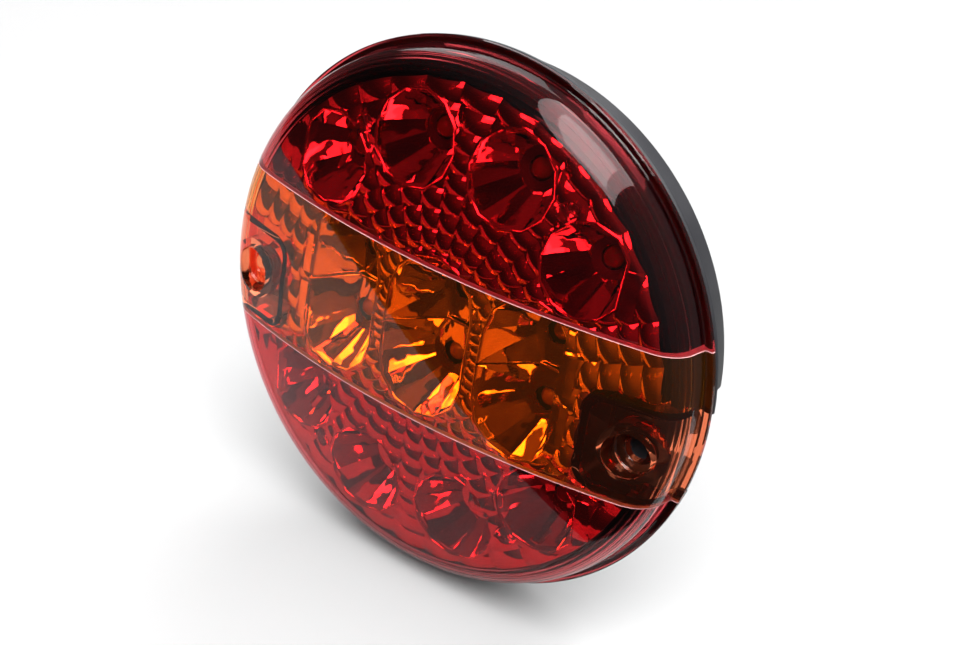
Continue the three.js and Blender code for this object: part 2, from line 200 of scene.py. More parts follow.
def rounded_outline(x0, x1, z0, z1, corner, steps=10):
    outline = []
    for cx, cz, start in (
        (x1 - corner, z0 + corner, -90),
        (x1 - corner, z1 - corner, 0),
        (x0 + corner, z1 - corner, 90),
        (x0 + corner, z0 + corner, 180),
    ):
        for k in range(steps + 1):
            angle = math.radians(start + 90 * k / steps)
            outline.append((cx + corner * math.cos(angle), cz + corner * math.sin(angle)))
    return outline


def tower(side, margin, y_low, y_high):
    """The space round a mounting screw, grown by a margin on its three closed sides."""
    near = TOWER_INNER - margin
    x0, x1 = (near, FAR) if side > 0 else (-FAR, -near)
    outline = rounded_outline(x0, x1, TOWER_LOW - margin, TOWER_HIGH + margin, TOWER_CORNER + margin)
    return prism("tower", outline, y_low, y_high)


def apply_modifier(piece):
    """Puts what the modifier makes of a piece in place of the piece's mesh."""
    graph = bpy.context.evaluated_depsgraph_get()
    result = bpy.data.meshes.new_from_object(piece.evaluated_get(graph))
    piece.modifiers.clear()
    old = piece.data
    piece.data = result
    bpy.data.meshes.remove(old)


def combine(target, other, operation):
    modifier = target.modifiers.new("combine", "BOOLEAN")
    modifier.object = other
    modifier.operation = operation
    modifier.solver = "MANIFOLD"
    apply_modifier(target)
    used = other.data
    bpy.data.objects.remove(other)
    bpy.data.meshes.remove(used)
    return target


def cut(target, other):
    return combine(target, other, "DIFFERENCE")


def join(target, other):
    return combine(target, other, "UNION")


def meet(target, other):
    return combine(target, other, "INTERSECT")


def smooth(piece, angle=28.0):
    mesh = piece.data
    mesh.shade_smooth()
    mesh.set_sharp_from_angle(angle=math.radians(angle))


def finish_piece(piece, name, nodes, material):
    piece.name = name
    piece.data.name = name
    piece.data.materials.clear()
    piece.data.materials.append(material)
    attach(piece, "root")
    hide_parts(*nodes)


# ---- materials ----
NOISE_SPAN = (0.35, 0.65)
METAL_GRAIN = 300
GRAIN_DEPTH = 0.0001
WAVE_SCALE = 150
WAVE_DEPTH = 0.001


def principled(name, **values):
    material = bpy.data.materials.new(name)
    material.use_nodes = True
    shader = material.node_tree.nodes["Principled BSDF"]
    for key, value in values.items():
        shader.inputs[key.replace("_", " ")].default_value = value
    return material, shader


def object_noise(material, scale, detail=3.0):
    nodes, links = material.node_tree.nodes, material.node_tree.links
    place = nodes.new("ShaderNodeTexCoord")
    noise = nodes.new("ShaderNodeTexNoise")
    noise.inputs["Scale"].default_value = scale
    noise.inputs["Detail"].default_value = detail
    links.new(place.outputs["Object"], noise.inputs["Vector"])
    return noise


def vary_colour(material, shader, noise, dark, light):
    nodes, links = material.node_tree.nodes, material.node_tree.links
    ramp = nodes.new("ShaderNodeValToRGB")
    ramp.color_ramp.elements[0].position = NOISE_SPAN[0]
    ramp.color_ramp.elements[0].color = (*dark, 1)
    ramp.color_ramp.elements[1].position = NOISE_SPAN[1]
    ramp.color_ramp.elements[1].color = (*light, 1)
    links.new(noise.outputs["Fac"], ramp.inputs["Fac"])
    links.new(ramp.outputs["Color"], shader.inputs["Base Color"])


def vary_roughness(material, shader, noise, low, high):
    nodes, links = material.node_tree.nodes, material.node_tree.links
    span = nodes.new("ShaderNodeMapRange")
    span.inputs["To Min"].default_value = low
    span.inputs["To Max"].default_value = high
    links.new(noise.outputs["Fac"], span.inputs["Value"])
    links.new(span.outputs["Result"], shader.inputs["Roughness"])


def add_bump(material, shader, noise, strength, distance):
    nodes, links = material.node_tree.nodes, material.node_tree.links
    bump = nodes.new("ShaderNodeBump")
    bump.inputs["Strength"].default_value = strength
    bump.inputs["Distance"].default_value = distance
    links.new(noise.outputs["Fac"], bump.inputs["Height"])
    links.new(bump.outputs["Normal"], shader.inputs["Normal"])


def clear_plastic(name, dark, light, ior=1.3, clear=1.0):
    material, shader = principled(name, IOR=ior, Transmission_Weight=clear)
    tint = object_noise(material, 30, 2)
    vary_colour(material, shader, tint, dark, light)
    vary_roughness(material, shader, object_noise(material, 400, 4), 0.0, 0.03)
    return material


def frost_ends(piece, levels, material):
    """Gives the welded end faces of a lens part, the flat ones at these heights, a dull look."""
    piece.data.materials.append(material)
    nearly_level, touching = 0.99, 0.05
    for face in piece.data.polygons:
        flat = abs(face.normal.z) > nearly_level
        if flat and any(abs(face.center.z / MM - level) < touching for level in levels):
            face.material_index = 1


def thick_walls(material, deep):
    """Gives the walls round the screws the deeper tint of thick plastic."""
    nodes, links = material.node_tree.nodes, material.node_tree.links
    shader = nodes["Principled BSDF"]
    place = nodes.new("ShaderNodeTexCoord")
    axes = nodes.new("ShaderNodeSeparateXYZ")
    links.new(place.outputs["Object"], axes.inputs["Vector"])
    middle = (TOWER_LOW + TOWER_HIGH) / 2
    half = (TOWER_HIGH - TOWER_LOW) / 2
    mask = None
    for axis, shift, fold, start, end in (
        ("X", 0.0, True, TOWER_INNER - 0.6, TOWER_INNER + 0.4),
        ("Z", -middle, True, half + 0.8, half - 0.4),
        ("Y", 0.0, False, FRONT_Y + 3.6, FRONT_Y + 5.0),
    ):
        value = nodes.new("ShaderNodeMath")
        value.operation = "ADD"
        value.inputs[1].default_value = shift * MM
        links.new(axes.outputs[axis], value.inputs[0])
        if fold:
            positive = nodes.new("ShaderNodeMath")
            positive.operation = "ABSOLUTE"
            links.new(value.outputs[0], positive.inputs[0])
            value = positive
        span = nodes.new("ShaderNodeMapRange")
        span.inputs["From Min"].default_value = start * MM
        span.inputs["From Max"].default_value = end * MM
        links.new(value.outputs[0], span.inputs["Value"])
        if mask is None:
            mask = span.outputs["Result"]
        else:
            both = nodes.new("ShaderNodeMath")
            both.operation = "MULTIPLY"
            links.new(mask, both.inputs[0])
            links.new(span.outputs["Result"], both.inputs[1])
            mask = both.outputs[0]
    blend = nodes.new("ShaderNodeMix")
    blend.data_type = "RGBA"
    thin = shader.inputs["Base Color"].links[0].from_socket
    links.new(mask, blend.inputs["Factor"])
    links.new(thin, blend.inputs[6])
    blend.inputs[7].default_value = (*deep, 1)
    links.new(blend.outputs[2], shader.inputs["Base Color"])


def metal(name, dark, light, rough_low, rough_high):
    material, shader = principled(name, Metallic=1.0)
    noise = object_noise(material, METAL_GRAIN, 4)
    vary_colour(material, shader, noise, dark, light)
    vary_roughness(material, shader, noise, rough_low, rough_high)
    return material


def moulded(name, dark, light, rough_low, rough_high, grain=2500, bump=0.15, specular=0.5):
    material, shader = principled(name)
    shader.inputs["Specular IOR Level"].default_value = specular
    vary_colour(material, shader, object_noise(material, 60, 4), dark, light)
    fine = object_noise(material, grain, 3)
    vary_roughness(material, shader, fine, rough_low, rough_high)
    add_bump(material, shader, fine, bump, GRAIN_DEPTH)
    return material


def moulding_waves(material):
    """The slight waviness of metallised plastic, which softens what its facets mirror."""
    waves = object_noise(material, WAVE_SCALE, 1)
    add_bump(material, material.node_tree.nodes["Principled BSDF"], waves, 0.3, WAVE_DEPTH)


RED_LENS = clear_plastic("red_acrylic", (0.68, 0.062, 0.075), (0.72, 0.07, 0.085))
AMBER_LENS = clear_plastic("amber_acrylic", (0.92, 0.275, 0.03), (0.95, 0.30, 0.04), clear=0.997)
thick_walls(AMBER_LENS, (0.85, 0.20, 0.09))
WELD_RED = moulded("welded_edge", (0.30, 0.13, 0.13), (0.36, 0.17, 0.17), 0.4, 0.5)
CHROME = metal("mirror_metallising", (0.84, 0.84, 0.85), (0.90, 0.90, 0.91), 0.02, 0.06)
moulding_waves(CHROME)
HOUSING_BLACK = moulded(
    "black_abs", (0.007, 0.007, 0.008), (0.010, 0.010, 0.011), 0.45, 0.55, specular=0.22)
RUBBER = moulded("seal_rubber", (0.015, 0.015, 0.015), (0.03, 0.03, 0.03), 0.6, 0.8)
RED_LED = clear_plastic("red_epoxy", (0.75, 0.16, 0.14), (0.82, 0.22, 0.18), 1.5, 0.6)
AMBER_LED = clear_plastic("amber_epoxy", (0.85, 0.55, 0.18), (0.9, 0.6, 0.22), 1.5, 0.6)
ZINC = metal("zinc_plate", (0.55, 0.55, 0.56), (0.68, 0.68, 0.67), 0.18, 0.35)
SOLDER_MASK = moulded(
    "green_solder_mask", (0.015, 0.11, 0.04), (0.03, 0.18, 0.06), 0.25, 0.4, grain=800, bump=0.05)
RESISTOR = moulded("resistor_lacquer", (0.5, 0.36, 0.2), (0.62, 0.48, 0.3), 0.3, 0.45)
EPOXY_BLACK = moulded("moulding_compound", (0.012, 0.012, 0.012), (0.03, 0.03, 0.03), 0.4, 0.6)
TINNED = metal("tinned_brass", (0.62, 0.6, 0.54), (0.78, 0.76, 0.7), 0.15, 0.3)


# ---- lens ----
DOME_CENTRE = FRONT_Y + DOME_R
CORNER_AXIS_R = SHOULDER_R - CORNER_R
CORNER_AXIS_Y = DOME_CENTRE - math.sqrt((DOME_R - CORNER_R) ** 2 - CORNER_AXIS_R ** 2)
CORNER_START = math.asin(CORNER_AXIS_R / (DOME_R - CORNER_R))
DOME_STEPS = 40
CORNER_STEPS = 24
RIB_COUNT = 6
RIB_DEPTH = 0.16
BORE_CHAMFER = 0.5
HOLE_CHAMFER = 0.3


def lens_curve(inset, ribs=0.0):
    """The lens surface moved inwards by inset: dome, corner, then the flared side wall."""
    curve = []
    for i in range(DOME_STEPS + 1):
        angle = CORNER_START * i / DOME_STEPS
        radius = DOME_R - inset
        curve.append((radius * math.sin(angle), DOME_CENTRE - radius * math.cos(angle)))
    for i in range(1, CORNER_STEPS + 1):
        part = i / CORNER_STEPS
        angle = CORNER_START + (math.pi / 2 - CORNER_START) * part
        saw = (part * RIB_COUNT) % 1.0
        radius = CORNER_R - inset + ribs * (1 - abs(2 * saw - 1)) * (part < 1)
        curve.append((CORNER_AXIS_R + radius * math.sin(angle), CORNER_AXIS_Y - radius * math.cos(angle)))
    curve.append((SHOULDER_R + WALL_FLARE - inset, LENS_BACK_Y))
    return curve


def lens_blank(inset):
    return turned("lens_blank", [*lens_curve(inset), (0, LENS_BACK_Y)])


def lens_shell():
    outer = lens_curve(0)[:-1]
    inner = lens_curve(LENS_WALL, RIB_DEPTH)
    lip_y = LENS_BACK_Y - RIM_LIP
    wall_r = SHOULDER_R + WALL_FLARE
    edge = [(wall_r - 0.05, lip_y - LIP_CHAMFER), (wall_r + 0.25, lip_y)]
    edge += [(LENS_R - LIP_CHAMFER, lip_y), (LENS_R, lip_y + LIP_CHAMFER)]
    edge += [(LENS_R, LENS_BACK_Y - 0.25), (LENS_R - 0.25, LENS_BACK_Y)]
    return turned("lens_shell", [*outer, *edge, *reversed(inner)])


def screw_tower(side):
    x = side * SCREW_X
    wall = tower(side, 0, FRONT_Y, TOWER_FOOT_Y)
    cut(wall, tower(side, -TOWER_WALL, FRONT_Y - 1, TOWER_FOOT_Y + 1))
    join(wall, rod(HEAD_TUBE_R, FRONT_Y, HEAD_SEAT_Y + HEAD_FLOOR, x, SCREW_Z))
    return meet(wall, lens_blank(LENS_WALL / 2))


def screw_bore(side):
    x = side * SCREW_X
    profile = [(0, FRONT_Y - 1), (HEAD_BORE_R, FRONT_Y - 1), (HEAD_BORE_R, HEAD_SEAT_Y - BORE_CHAMFER)]
    profile += [(HEAD_BORE_R - BORE_CHAMFER, HEAD_SEAT_Y), (SCREW_BORE_R + HOLE_CHAMFER, HEAD_SEAT_Y)]
    profile += [(SCREW_BORE_R, HEAD_SEAT_Y + HOLE_CHAMFER), (SCREW_BORE_R, 1), (0, 1)]
    return turned("screw_bore", profile, 64, x, SCREW_Z)


def make_lens():
    wide = (-FAR, FAR)
    upper = meet(lens_shell(), block(wide, wide, (RED_START, FAR)))
    lower = meet(lens_shell(), block(wide, wide, (-FAR, -RED_START)))
    amber = meet(lens_shell(), block(wide, wide, (-AMBER_TOP, AMBER_TOP)))
    for side in (1, -1):
        join(amber, screw_tower(side))
        cut(amber, screw_bore(side))
    for piece in (upper, lower, amber):
        smooth(piece, 30)
    finish_piece(upper, "upper_red_lens", ["lens_upper_red"], RED_LENS)
    finish_piece(lower, "lower_red_lens", ["lens_lower_red"], RED_LENS)
    finish_piece(amber, "amber_lens_band", ["lens_amber_band"], AMBER_LENS)
    for piece, levels in ((upper, (RED_START,)), (lower, (-RED_START,)), (amber, (AMBER_TOP, -AMBER_TOP))):
        frost_ends(piece, levels, WELD_RED)


# ---- reflector ----
REFLECTOR_TOP_Y = -31.9
REFLECTOR_DOME_R = 290.0
REFLECTOR_WALL = 1.6
REFLECTOR_BACK_Y = -20.0
RING_PITCH = 5.0
SECTORS = 36
PILLOW_EDGE_SLOPE = (0.6, 0.6)
PILLOW_WIDEST_R = 45.0
PILLOW_STEPS = 12
PILLOW_SINK = 0.55
EDGE_SINK = 0.7
EDGE_SINK_R = (48.0, 56.0)
CUP_SIDES = 12
CUP_END_Y = {"red": -16.6, "amber": -18.6}
CUP_TIERS = ((1.0, 0.0), (0.84, 0.36), (0.66, 0.70), (0.48, 1.0), (0.27, 1.04))
TIER_STEPS = 3
TIER_BULGE = 0.25
RIM_ROUND = 0.45
RIM_STEPS = 4
COLLAR = 0.85
COLLAR_RISE = 0.5
TROUGH_FLOOR = 2.5
CREASE_END = 6.2
CUP_WALL = 1.1
COLLAR_SHAPE = (
    (COLLAR, 1.2), (COLLAR, -0.1), (COLLAR - 0.1, -0.3), (COLLAR - 0.25, -0.44), (COLLAR - 0.4, -COLLAR_RISE),
)
COLLAR_OVERLAP = 0.2
RED_OUTER_X = 25
AMBER_OUTER_X = 5
RED_INNER_R = 11.6
RED_OUTER_R = 11.2
RED_CLIP = 9.1
AMBER_R = 11.8
AMBER_CLIP = 8.8
AMBER_HOLE_TURNS = (210, 245, 295, 330)
FIN = 0.36
RIB_RISE = 0.7
RIB_SIDES = 12
RIB_END_RISE = 0.2
RIB_OVERREACH = 0.5
RIB_FLOOR_MARGIN = 0.3
RIM_KEEP = 0.4
RED_BAR = {"x": (46.9, 49.2), "z": (24.5, 35.5), "rise": 1.5}
AMBER_BAR = {"x": (37.0, 39.4), "z": (1.3, 11.7), "rise": 1.7}
BAR_BEVEL = 1.6
BAR_BEVEL_SLOPE = 0.8
BAR_ROOT = 1.5
BACK_RADII = (15, 30, 45)
BACK_OVERLAP = 0.9
FACET_ANGLE = math.radians(9)
WELL_R = 2.7
WELL_Y = -23.4
WELL_WALL = 1
WELL_HOLE_R = 1.5


def front_y(r):
    return REFLECTOR_TOP_Y + REFLECTOR_DOME_R - math.sqrt(REFLECTOR_DOME_R ** 2 - r ** 2)


def pillow(r, turn):
    """How far a pillow stands out at a radius and at a turn, counted in sectors."""
    u = ((REFLECTOR_R + 0.2 - r) / RING_PITCH) % 1.0
    w = (turn + 0.5) % 1.0
    width = math.tau / SECTORS * min(r, PILLOW_WIDEST_R)
    outward, sideways = PILLOW_EDGE_SLOPE
    along = outward * RING_PITCH / 4 * (1 - (2 * u - 1) ** 2)
    across = sideways * width / 4 * (1 - (2 * w - 1) ** 2)
    return along + across


def sink(r):
    """How far the pillows lie below the dome. It grows near the edge, where the lens curves down to them."""
    start, end = EDGE_SINK_R
    return PILLOW_SINK + EDGE_SINK * min(max((r - start) / (end - start), 0), 1)


def reflector_blank():
    steps = SECTORS * PILLOW_STEPS
    radii = []
    edge = REFLECTOR_R + 0.2
    ring = edge
    while ring > RING_PITCH:
        for k in range(PILLOW_STEPS):
            radii.append(ring - RING_PITCH * k / PILLOW_STEPS)
        ring -= RING_PITCH
    radii = sorted(min(r, REFLECTOR_R) for r in radii)
    corners = [(0, front_y(0), 0)]
    rings = []
    for r in radii:
        rings.append(list(range(len(corners), len(corners) + steps)))
        for k in range(steps):
            angle = math.tau * k / steps
            y = front_y(r) + sink(r) - pillow(r, k / PILLOW_STEPS)
            corners.append((r * math.sin(angle), y, r * math.cos(angle)))
    inside = REFLECTOR_R - REFLECTOR_WALL
    back = [(REFLECTOR_R, REFLECTOR_BACK_Y), (inside, REFLECTOR_BACK_Y)]
    back += [(r, front_y(r) + REFLECTOR_WALL + PILLOW_SINK) for r in (inside, *reversed(BACK_RADII), 4)]
    for r, y in back:
        rings.append(list(range(len(corners), len(corners) + steps)))
        for k in range(steps):
            angle = math.tau * k / steps
            corners.append((r * math.sin(angle), y, r * math.cos(angle)))
    corners.append((0, front_y(0) + REFLECTOR_WALL + PILLOW_SINK, 0))
    last = len(corners) - 1
    faces = []
    for k in range(steps):
        n = (k + 1) % steps
        faces.append([0, rings[0][k], rings[0][n]])
        faces.append([last, rings[-1][n], rings[-1][k]])
        for low, high in zip(rings, rings[1:]):
            faces.append([low[k], low[n], high[n], high[k]])
    return mesh_object("reflector", corners, faces)


def cup_list():
    """Every cup, from the places of the light sources."""
    cups = []
    for node in sorted(frame["nodes"]):
        if not node.startswith("led_"):
            continue
        low, high = box_mm(node)
        x, z = (low.x + high.x) / 2, (low.z + high.z) / 2
        if "amber" in node:
            radius, clip = AMBER_R, AMBER_CLIP if abs(x) > AMBER_OUTER_X else 0
        else:
            outer = abs(x) > RED_OUTER_X
            radius, clip = (RED_OUTER_R, RED_CLIP) if outer else (RED_INNER_R, 0)
        colour = "amber" if "amber" in node else "red"
        cups.append({"node": node, "colour": colour, "x": x, "z": z, "radius": radius, "clip": clip})
    return cups


def lean(piece, x, z):
    """Shears a piece along Y so that its rim lies along the dome at x, z."""
    r = math.hypot(x, z)
    slope = r / math.sqrt(REFLECTOR_DOME_R ** 2 - r ** 2)
    for vertex in piece.data.vertices:
        out = ((vertex.co.x / MM - x) * x + (vertex.co.z / MM - z) * z) / max(r, 1e-6)
        vertex.co.y += out * slope * MM
    return piece


def cup_ring(cup, share, depth, grow, middle=FIN):
    """One level of a bowl as (x, z) points: a twelve-sided ring, or half of one drawn out to the
    middle of the amber band. A clipped bowl has a flat outer side that slants in towards the light
    source."""
    radius = cup["radius"] * share + grow
    side = math.copysign(1, cup["x"])
    hole = cup["radius"] * CUP_TIERS[-1][0]
    limit = cup["clip"] + (hole - cup["clip"]) * depth + grow if cup["clip"] else FAR
    turns = range(CUP_SIDES) if cup["colour"] == "red" else range(CUP_SIDES // 2 + 1)
    points = []
    for k in turns:
        angle = math.tau * k / CUP_SIDES
        points.append((radius * math.cos(angle), radius * math.sin(angle)))
    if cup["colour"] == "amber":
        up = abs(cup["z"])
        crease = middle + 0.3 + (CREASE_END - middle) * depth
        ridge = cup["radius"] + (TROUGH_FLOOR - cup["radius"]) * depth + grow
        points += [(-radius, crease - up), (-ridge, middle - up), (ridge, middle - up), (radius, crease - up)]
    clamped = [(min(x, limit) if side > 0 else max(x, -limit), z) for x, z in points]
    flip = -1 if cup["colour"] == "amber" and cup["z"] < 0 else 1
    return [(cup["x"] + x, cup["z"] + flip * z) for x, z in clamped]


def hole_ring(cup, grow, count):
    """The ring of the light source's hole, with one point for each point of the levels above it."""
    radius = cup["radius"] * CUP_TIERS[-1][0] + grow
    half = CUP_SIDES // 2
    angles = [math.tau * k / CUP_SIDES for k in range(min(count, CUP_SIDES))]
    if cup["colour"] == "amber":
        angles = [math.tau * k / CUP_SIDES for k in range(half + 1)]
        angles += [math.radians(a) for a in AMBER_HOLE_TURNS]
    flip = -1 if cup["colour"] == "amber" and cup["z"] < 0 else 1
    return [(cup["x"] + radius * math.cos(a), cup["z"] + flip * radius * math.sin(a)) for a in angles]


def bowl_profile():
    """(share of the rim radius, share of the depth) from the rim down. Each tier bulges a little outwards."""
    profile = [CUP_TIERS[0]]
    bottom = CUP_TIERS[-2][0]
    for (share_a, depth_a), (share_b, depth_b) in zip(CUP_TIERS, CUP_TIERS[1:]):
        for k in range(1, TIER_STEPS + 1):
            part = k / TIER_STEPS
            share = share_a + (share_b - share_a) * part
            chord = depth_a + (depth_b - depth_a) * part
            parabola = (1 - share ** 2) / (1 - bottom ** 2)
            bulge = TIER_BULGE if k < TIER_STEPS and share > bottom else 0
            profile.append((share, chord + (parabola - chord) * bulge))
    return profile


def loft(name, levels):
    """A closed solid through rings of (x, z) points, each at its own y."""
    corners = [(x, y, z) for ring, y in levels for x, z in ring]
    n = len(levels[0][0])
    faces = [list(range(n)), list(range(len(corners) - n, len(corners)))]
    for level in range(len(levels) - 1):
        for k in range(n):
            a, b = level * n + k, level * n + (k + 1) % n
            faces.append([a, b, b + n, a + n])
    return mesh_object(name, corners, faces)


def bowl(cup, grow, y_top, end_y, rounded=False):
    rim = front_y(math.hypot(cup["x"], cup["z"]))
    depth_y = CUP_END_Y[cup["colour"]] - rim
    levels = [(cup_ring(cup, share, depth, grow), rim + depth_y * depth) for share, depth in bowl_profile()]
    if rounded:
        top = rim - COLLAR_RISE
        edge = []
        for k in range(RIM_STEPS + 1):
            angle = math.pi / 2 * k / RIM_STEPS
            wide = grow + RIM_ROUND * (1 - math.sin(angle))
            edge.append((cup_ring(cup, 1, 0, wide), top + RIM_ROUND * (1 - math.cos(angle))))
        levels = [*edge, *levels]
    hole = hole_ring(cup, grow, len(levels[0][0]))
    levels = [(levels[0][0], y_top), *levels, (hole, levels[-1][1] + 0.02), (hole, end_y)]
    return lean(loft("bowl", levels), cup["x"], cup["z"])


def collar(cup):
    """A low rounded lip round the rim of a bowl."""
    rim = front_y(math.hypot(cup["x"], cup["z"]))
    levels = [(cup_ring(cup, 1, 0, grow, -COLLAR_OVERLAP), rim + y) for grow, y in COLLAR_SHAPE]
    return lean(loft("collar", levels), cup["x"], cup["z"])


def rib_line(cup):
    """The top of the low rib between an upper and a lower amber bowl, as (x, y) points."""
    x = cup["x"]
    rim = front_y(math.hypot(x, cup["z"]))
    drop = CUP_END_Y["amber"] - rim
    reach = cup["radius"] + RIB_OVERREACH
    clipped = cup["clip"] + RIB_OVERREACH
    limits = [clipped if cup["clip"] and side * x > 0 else reach for side in (-1, 1)]
    floor = TROUGH_FLOOR + RIB_FLOOR_MARGIN
    low = rim + drop - RIB_RISE
    high = rim - RIB_END_RISE
    return [(x - limits[0], high), (x - floor, low), (x + floor, low), (x + limits[1], high)]


def rib_bar(cup):
    """The rounded top of that rib."""
    line = rib_line(cup)
    around = RIB_SIDES
    levels = []
    for i, (x, y) in enumerate(line):
        ahead = Vector(line[min(i + 1, 3)]) - Vector(line[max(i, 1) - 1])
        before = (Vector((x, y)) - Vector(line[i - 1])).normalized() if i else ahead.normalized()
        after = (Vector(line[i + 1]) - Vector((x, y))).normalized() if i < 3 else before
        along = (before + after).normalized()
        stretch = 1 / max(along.dot(before), 0.3)
        out = Vector((along.y, -along.x)) * stretch
        ring = []
        for k in range(around):
            angle = math.tau * k / around
            offset = out * (FIN * math.cos(angle))
            ring.append((x + offset.x, y + offset.y, FIN * math.sin(angle)))
        levels.append(ring)
    corners = [corner for ring in levels for corner in ring]
    faces = [list(range(around)), list(range(3 * around, 4 * around))]
    for level in range(3):
        for k in range(around):
            a, b = level * around + k, level * around + (k + 1) % around
            faces.append([a, b, b + around, a + around])
    return mesh_object("rib", corners, faces)


def saddle(cup):
    """Cuts the thin wall between an upper and a lower amber bowl down to a low rib."""
    line = rib_line(cup)
    outline = [(line[0][0], FRONT_Y), *line, (line[-1][0], FRONT_Y)]
    return side_prism("saddle", outline, -FIN - 0.02, FIN + 0.02)


def raised_bar(bar, side, up):
    """A raised bar beside an outer cup, with a wide chamfer on its outer side."""
    inner, outer = bar["x"]
    ends = [up * z for z in bar["z"]]
    y = front_y(math.hypot((inner + outer) / 2, sum(ends) / 2))
    top, root = y - bar["rise"], y + BAR_ROOT
    outline = [(inner, root), (inner, top), (outer, top)]
    outline += [(outer + BAR_BEVEL, top + BAR_BEVEL * BAR_BEVEL_SLOPE), (outer + BAR_BEVEL, root)]
    return side_prism("bar", [(side * x, y) for x, y in outline], *sorted(ends))


def make_reflector(cups):
    body = reflector_blank()
    edge_r, foot_y = REFLECTOR_R - 0.5, BOARD_FRONT_Y - 0.1
    inside = [(r, front_y(r) + BACK_OVERLAP) for r in (0, *BACK_RADII, edge_r)]
    inside += [(edge_r, foot_y), (0, foot_y)]
    for cup in cups:
        wall = bowl(cup, CUP_WALL, FRONT_Y, CUP_END_Y[cup["colour"]] + CUP_WALL)
        join(body, meet(wall, turned("inside", inside, 96)))
    screws = [box_mm(f"reflector_screw_{i}") for i in range(1, 5)]
    wells = [((low.x + high.x) / 2, (low.z + high.z) / 2) for low, high in screws]
    for x, z in wells:
        boss = rod(WELL_R + WELL_WALL, FRONT_Y, foot_y, x, z, 48)
        join(body, meet(boss, turned("inside", inside, 96)))
    room = [*lens_curve(LENS_WALL + 2 * GAP)]
    room += [(room[-1][0], 0), (0, 0)]
    for side in (1, -1):
        for up in (1, -1):
            for bar in (RED_BAR, AMBER_BAR):
                join(body, meet(raised_bar(bar, side, up), turned("room", room, 96)))
    for cup in cups:
        join(body, collar(cup))
    for cup in cups:
        cut(body, bowl(cup, 0, FRONT_Y, CUP_END_Y[cup["colour"]] + 4, True))
    for cup in cups:
        if cup["colour"] == "amber" and cup["z"] > 0:
            cut(body, saddle(cup))
            join(body, rib_bar(cup))
    for x, z in wells:
        cut(body, rod(WELL_R, FRONT_Y, WELL_Y, x, z, 16))
        cut(body, rod(WELL_HOLE_R, FRONT_Y, 0, x, z, 24))
    for side in (1, -1):
        cut(body, tower(side, 1.0, FRONT_Y - 1, 1))
    smooth(body, 30)
    crease_cups(body, cups)
    weigh_normals(body)
    finish_piece(body, "reflector_bowls", ["reflector"], CHROME)


def crease_cups(body, cups):
    """Keeps the facets of the cups apart, below their rounded rims."""
    work = bmesh.new()
    work.from_mesh(body.data)
    inside = set()
    for face in work.faces:
        centre = face.calc_center_median() / MM
        for cup in cups:
            across, up = centre.x - cup["x"], centre.z - cup["z"]
            within = math.hypot(across, up) < cup["radius"]
            if cup["colour"] == "amber" and abs(centre.z) < abs(cup["z"]):
                within = abs(across) < cup["radius"] and abs(centre.z) > FIN
            if within and centre.y > front_y(math.hypot(centre.x, centre.z)) + RIM_KEEP:
                inside.add(face.index)
    for edge in work.edges:
        if len(edge.link_faces) == 2 and all(face.index in inside for face in edge.link_faces):
            edge.smooth = edge.calc_face_angle(0) < FACET_ANGLE
    work.to_mesh(body.data)
    work.free()


def weigh_normals(piece):
    modifier = piece.modifiers.new("weigh", "WEIGHTED_NORMAL")
    modifier.keep_sharp = True
    apply_modifier(piece)


# ---- housing ----
BACK_R = 63.8
HOUSING_R = 65.8
FLANGE_R = 69.6
FLANGE_Y = (-14.15, -12.9)
LIP_R = (62.6, 64.9)
LIP_Y = -22.0
FLOOR_Y = -3.8
RECESS_Y = -1.8
FOOT_R = 4.3
FOOT_END_Y = -2.5
CABLE_R = 3.0
NECK_R = 5.0
GROMMET_R = 7.0
LIP_GROOVES = 4
POCKETS = 8
POCKET_INNER_R = 13
POCKET_R = 55
POCKET_HALF = 0.352
SCREW_POCKET_R = 40
SCREW_POCKET_HALF = 0.34
POCKET_TAPER = 0.86
POCKET_STEPS = 24


def pocket(middle, r_low, r_high, half):
    """A pocket in the back: the part of a ring between two angles, narrower towards the middle."""
    outline = []
    steps = POCKET_STEPS
    for k in range(steps + 1):
        angle = middle - half + 2 * half * k / steps
        outline.append((r_high * math.cos(angle), r_high * math.sin(angle)))
    for k in range(steps + 1):
        angle = middle + POCKET_TAPER * (half - 2 * half * k / steps)
        outline.append((r_low * math.cos(angle), r_low * math.sin(angle)))
    return prism("pocket", outline, RECESS_Y, 1)


